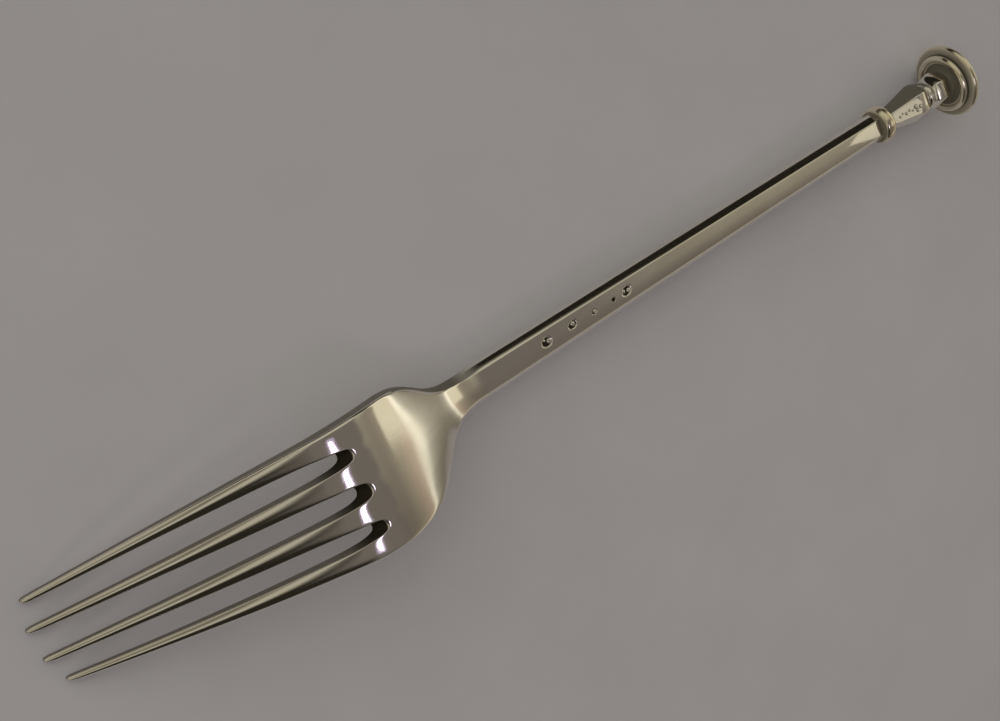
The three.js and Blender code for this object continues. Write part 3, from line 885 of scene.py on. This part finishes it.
# Dim room as the silver mirrors it: grey overhead, dark low down on one side with a pale window above,
# warm light low beyond the seal, and dark and pale bands behind the tines.
# Directions are unit vectors in the fork's frame. A name that ends in X, Y or Z says where along that axis
# a part of the room begins and where it is full.
room = {
    "darkSide": (0.020, 0.018, 0.013),
    "paleSide": (0.088, 0.080, 0.068), "paleSideY": (0.25, -0.15),
    "above": (0.153, 0.136, 0.120), "aboveZ": (0.40, 0.72),
    "highWindow": (0.46, 0.43, 0.34), "highWindowY": (0.18, 0.38), "highWindowZ": (0.40, 0.58),
    "lowerPaneX": (0.55, 0.35), "lowerPaneZ": (0.10, 0.36),
    "stemLight": (0.40, 0.37, 0.275),
    "stemLightX": (0.42, 0.62), "stemLightY": (-0.52, -0.22), "stemLightZ": (0.5, 0.68),
    "lowWindow": (0.74, 0.68, 0.51),
    "lowWindowY": (-0.330, -0.313), "lowWindowFootZ": (0.22, 0.25), "lowWindowHeadZ": (0.52, 0.46),
    "farDarkX": (-0.08, -0.30), "farDarkY": (-0.45, -0.65),
    "glowAim": (0.94, -0.342, 0.0), "glowReach": (0.42, 0.80),
    "glowFadeY": (-0.43, -0.28), "glowFade": (0.78, 1.2),
    "glow": [
        (0.00, (0.21, 0.19, 0.15)), (0.06, (0.24, 0.22, 0.17)), (0.12, (0.36, 0.33, 0.27)),
        (0.155, (0.50, 0.47, 0.38)), (0.175, (0.96, 0.92, 0.76)), (0.21, (0.90, 0.84, 0.68)),
        (0.235, (0.55, 0.46, 0.36)), (0.27, (0.47, 0.38, 0.29)), (0.35, (0.364, 0.303, 0.231)),
        (0.47, (0.27, 0.24, 0.18)), (0.58, (0.22, 0.19, 0.15)), (0.68, (0.19, 0.165, 0.135)),
        (0.78, (0.153, 0.132, 0.109)), (1.00, (0.165, 0.147, 0.132)),
    ],
    # behind the tines, from right to left: dark, then pale, then dim, then pale again
    "behindX": (-0.33, -0.45), "behindZ": (0.02, 0.2), "behindLean": 1.3, "behindSpan": (-0.467, 1.533),
    "behind": [
        (0.00, (0.020, 0.017, 0.012)), (0.35, (0.018, 0.016, 0.011)), (0.38, (0.05, 0.046, 0.036)),
        (0.42, (0.09, 0.082, 0.065)), (0.48, (0.22, 0.205, 0.165)), (0.54, (0.42, 0.395, 0.32)),
        (0.64, (0.44, 0.41, 0.33)), (0.71, (0.26, 0.24, 0.19)), (0.79, (0.13, 0.12, 0.092)),
        (0.88, (0.34, 0.31, 0.24)), (1.00, (0.40, 0.37, 0.28)),
    ],
}
world = bpy.data.worlds.new("dimRoom")
world.use_nodes = True
sky = world.node_tree
aim = node(sky, "ShaderNodeTexCoord", (-2000, 0))
split = node(sky, "ShaderNodeSeparateXYZ", (-1800, 0))
sky.links.new(aim.outputs["Generated"], split.inputs["Vector"])
aimX, aimY, aimZ = split.outputs


def within(source, low, high):
    made = node(sky, "ShaderNodeMapRange", (-1500, 0), From_Min=low, From_Max=high)
    made.interpolation_type = "SMOOTHSTEP"
    sky.links.new(source, made.inputs["Value"])
    return made.outputs["Result"]


def product(first, *others):
    for other in others:
        made = sky.nodes.new("ShaderNodeMath")
        made.operation = "MULTIPLY"
        sky.links.new(first, made.inputs[0])
        sky.links.new(other, made.inputs[1])
        first = made.outputs["Value"]
    return first


def stops(source, colours):
    made = ramp(sky, (-1200, 0), 0.0, 1.0, colours[0][1], colours[-1][1])
    for height, colour in colours[1:-1]:
        made.color_ramp.elements.new(height).color = (*colour, 1)
    sky.links.new(source, made.inputs["Fac"])
    return made.outputs["Color"]


def over(below, above, share):
    made = colourMix(sky, (-600, 0))
    for socket, given in ((made.inputs["A"], below), (made.inputs["B"], above)):
        if isinstance(given, tuple):
            socket.default_value = (*given, 1)
        else:
            sky.links.new(given, socket)
    sky.links.new(share, made.inputs["Factor"])
    return made.outputs["Result"]


sides = over(room["darkSide"], room["paleSide"], within(aimY, *room["paleSideY"]))
seen = over(sides, room["above"], within(aimZ, *room["aboveZ"]))
leftOf = within(aimY, *room["highWindowY"])
seen = over(seen, room["highWindow"], product(leftOf, within(aimZ, *room["highWindowZ"])))
lowerPane = product(leftOf, within(aimZ, *room["lowerPaneZ"]), within(aimX, *room["lowerPaneX"]))
seen = over(seen, room["highWindow"], lowerPane)
stemLight = product(within(aimX, *room["stemLightX"]), within(aimZ, *room["stemLightZ"]),
                    within(aimY, *room["stemLightY"]))
seen = over(seen, room["stemLight"], stemLight)
# how far a direction points along the glow, and a slow fade of the glow to one side
toward = sky.nodes.new("ShaderNodeVectorMath")
toward.operation = "DOT_PRODUCT"
toward.inputs[1].default_value = room["glowAim"]
sky.links.new(aim.outputs["Generated"], toward.inputs[0])
ahead = within(toward.outputs["Value"], *room["glowReach"])
fadeLow, fadeHigh = room["glowFadeY"]
dimmed, full = room["glowFade"]
fade = node(sky, "ShaderNodeMapRange", (-1200, -500), From_Min=fadeLow, From_Max=fadeHigh,
            To_Min=dimmed, To_Max=full)
sky.links.new(aimY, fade.inputs["Value"])
fadedGlow = sky.nodes.new("ShaderNodeVectorMath")
fadedGlow.operation = "SCALE"
sky.links.new(stops(aimZ, room["glow"]), fadedGlow.inputs[0])
sky.links.new(fade.outputs["Result"], fadedGlow.inputs["Scale"])
seen = over(seen, fadedGlow.outputs["Vector"], ahead)
lowWindow = product(ahead, within(aimY, *room["lowWindowY"]), within(aimZ, *room["lowWindowFootZ"]),
                    within(aimZ, *room["lowWindowHeadZ"]))
seen = over(seen, room["lowWindow"], lowWindow)
# the bands behind the tines lean, so they are read along a mix of two axes
leaning = sky.nodes.new("ShaderNodeMath")
leaning.operation = "MULTIPLY_ADD"
sky.links.new(aimX, leaning.inputs[0])
leaning.inputs[1].default_value = -room["behindLean"]
sky.links.new(aimY, leaning.inputs[2])
spanLow, spanHigh = room["behindSpan"]
across = node(sky, "ShaderNodeMapRange", (-1500, -800), From_Min=spanLow, From_Max=spanHigh)
sky.links.new(leaning.outputs["Value"], across.inputs["Value"])
behind = product(within(aimX, *room["behindX"]), within(aimZ, *room["behindZ"]))
seen = over(seen, stops(across.outputs["Result"], room["behind"]), behind)
farDark = product(within(aimX, *room["farDarkX"]), within(aimY, *room["farDarkY"]))
seen = over(seen, room["darkSide"], farDark)
sky.links.new(seen, sky.nodes["Background"].inputs["Color"])
bpy.context.scene.world = world
bpy.context.scene.view_settings.view_transform = "Standard"
print("lights hung")

# Camera at the photograph's place; focal length in pixels over an image 1000 wide
cameraPlan = {
    "place": (-95.7, 69.4, 190.0), "focalPixels": 1481.8, "imageWidth": 1000, "sensor": 36.0,
    "clip": (0.005, 20.0),
    "right": (0.775, -0.389, 0.497), "down": (-0.495, -0.863, 0.097),
}


def setCamera(s):
    data = bpy.data.cameras.new("photoCamera")
    data.sensor_width = s["sensor"]
    data.lens = s["focalPixels"] * s["sensor"] / s["imageWidth"]
    data.clip_start, data.clip_end = s["clip"]
    camera = bpy.data.objects.new("photoCamera", data)
    bpy.context.scene.collection.objects.link(camera)
    right = Vector(s["right"]).normalized()
    up = -Vector(s["down"])
    up = (up - right * up.dot(right)).normalized()
    backward = right.cross(up)
    turn = Matrix((right, up, backward)).transposed()
    camera.matrix_world = Matrix.Translation(Vector(s["place"]) * mm) @ turn.to_4x4()
    bpy.context.scene.camera = camera


setCamera(cameraPlan)
